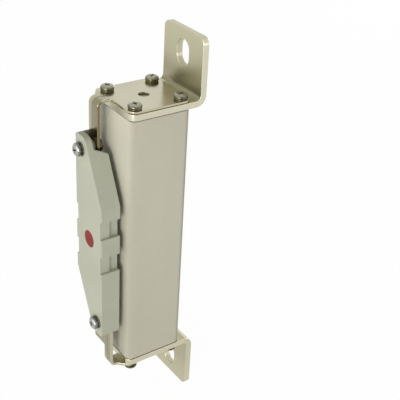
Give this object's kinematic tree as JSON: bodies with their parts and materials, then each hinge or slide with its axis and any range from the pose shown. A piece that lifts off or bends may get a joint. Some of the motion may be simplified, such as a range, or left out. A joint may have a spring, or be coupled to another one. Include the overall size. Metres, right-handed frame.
{
  "type": "dc fuse",
  "caption": "Long square-bodied ceramic DC fuse with slotted bolt-on end terminals bent the same way and a side trip indicator with a red pop-out button.",
  "frame": {"origin": "midway between the two terminal slots, on the plane of the terminals' rear faces, which meet the busbars", "axes": "+Z along the body from the terminal without the cover to the one with it, +Y out of the rear faces towards the busbars, +X across the body, so the trip indicator faces -Y"},
  "size_m": [0.046, 0.0811, 0.288],
  "materials": {
    "ceramic": "matt, unglazed",
    "terminal": "plated copper, satin",
    "sheet": "bright plated sheet steel",
    "screw": "zinc plated steel",
    "housing": "light grey moulding, fine matt",
    "red": "red moulding",
    "back_plate": "grey moulding",
    "seal": "pale gasket",
    "contact": "copper",
    "silver": "silver strip",
    "sand": "bonded quartz sand",
    "plug": "pressed-in plug",
    "tag": "brass",
    "wire": "fine wire"
  },
  "bodies": {
    "fuse": {"ceramic_body": "ceramic", "end_seals": "seal", "upper_terminal": "terminal", "lower_terminal": "terminal", "upper_contact_plate": "contact", "lower_contact_plate": "contact", "fuse_strip_1": "silver", "fuse_strip_2": "silver", "fuse_strip_3": "silver", "fuse_strip_4": "silver", "quartz_sand_fill": "sand", "filling_plug": "plug", "cover_with_bracket": "sheet", "lower_bracket": "sheet", "end_washers": "screw", "end_screws": "screw", "indicator_housing": "housing", "indicator_back_plate": "back_plate", "button_spring": "wire", "wire_tags": "tag", "trip_wires": "wire", "indicator_screws": "screw", "indicator_flat_washers": "screw", "indicator_spring_washers": "screw", "indicator_nuts": "screw"},
    "button": {"indicator_button": "red"}
  },
  "joints": [
    {"name": "button_pop_out", "type": "slide", "parent": "fuse", "child": "button", "axis": [0, -1, 0], "range_m": [0, 0.006], "deforming": ["button_spring"]}
  ]
}
